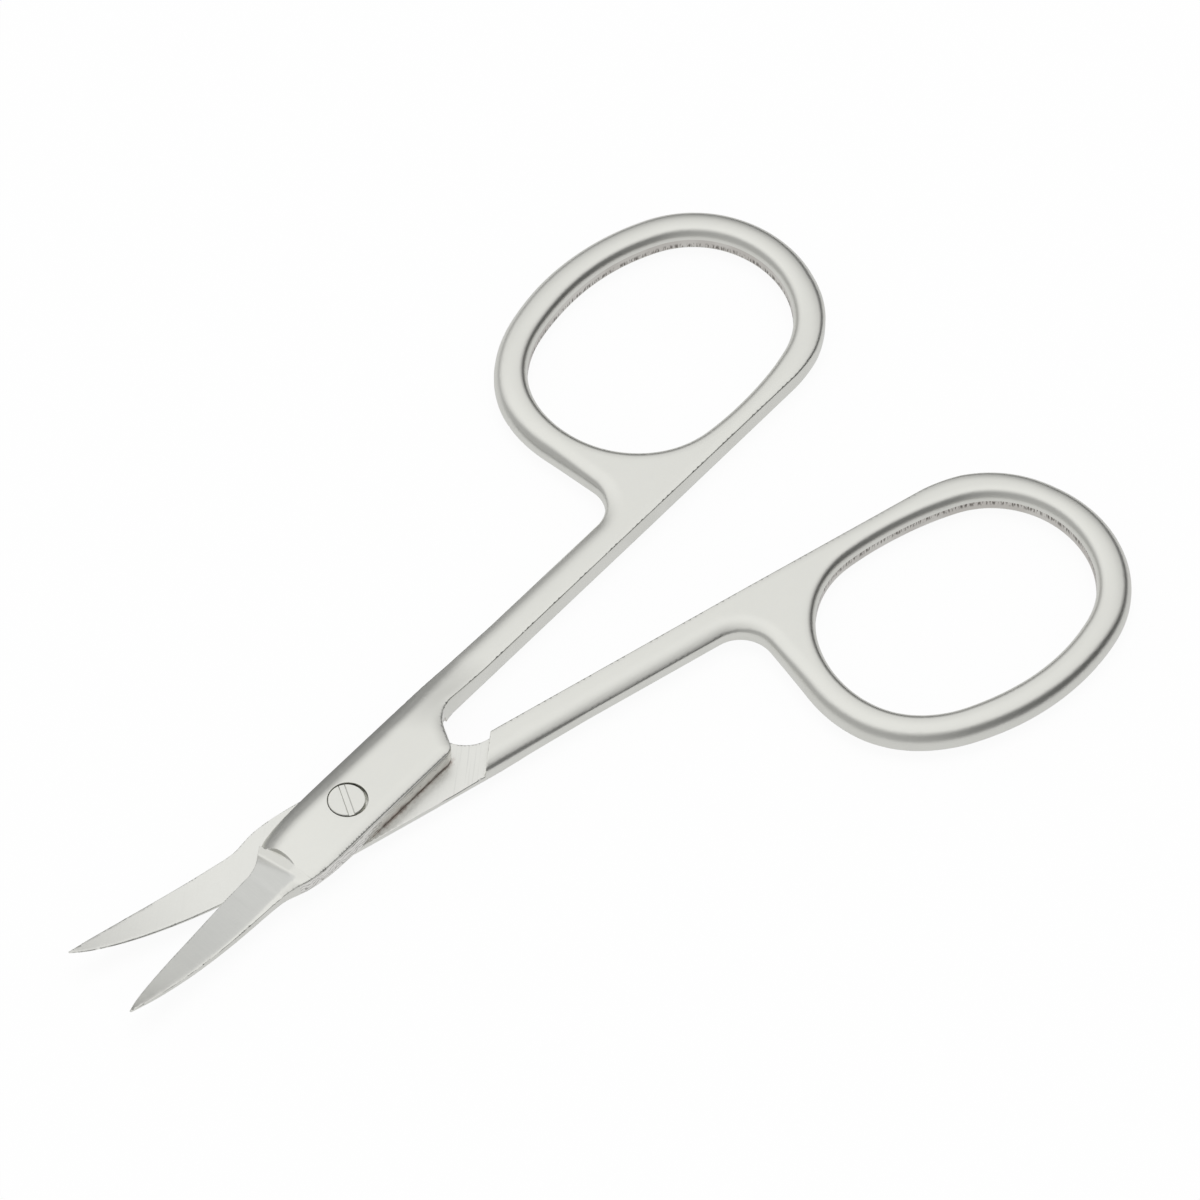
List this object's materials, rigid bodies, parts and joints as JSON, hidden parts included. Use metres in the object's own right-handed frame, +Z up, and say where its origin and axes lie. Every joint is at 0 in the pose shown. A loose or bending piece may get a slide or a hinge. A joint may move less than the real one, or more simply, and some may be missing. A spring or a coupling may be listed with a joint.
{
  "type": "cuticle scissors",
  "caption": "Small steel cuticle scissors with curved pointed blades, a slotted pivot screw, slim shanks and oval finger rings.",
  "frame": {"origin": "on the pivot axis, at the flat underside of the lower pivot block", "axes": "+Z up along the pivot axis, +X from the pivot towards the blade tips"},
  "size_m": [0.0913, 0.06, 0.0038],
  "materials": {
    "steel": "satin",
    "screw_steel": "satin, ground flush"
  },
  "bodies": {
    "lower": {"lower_half": "steel", "pivot_screw": "screw_steel"},
    "upper": {"upper_half": "steel"}
  },
  "joints": [
    {"name": "pivot", "type": "hinge", "parent": "lower", "child": "upper", "pos_m": [0, 0, 0], "axis": [0, 0, 1], "range_deg": [-15.6, 60]}
  ]
}
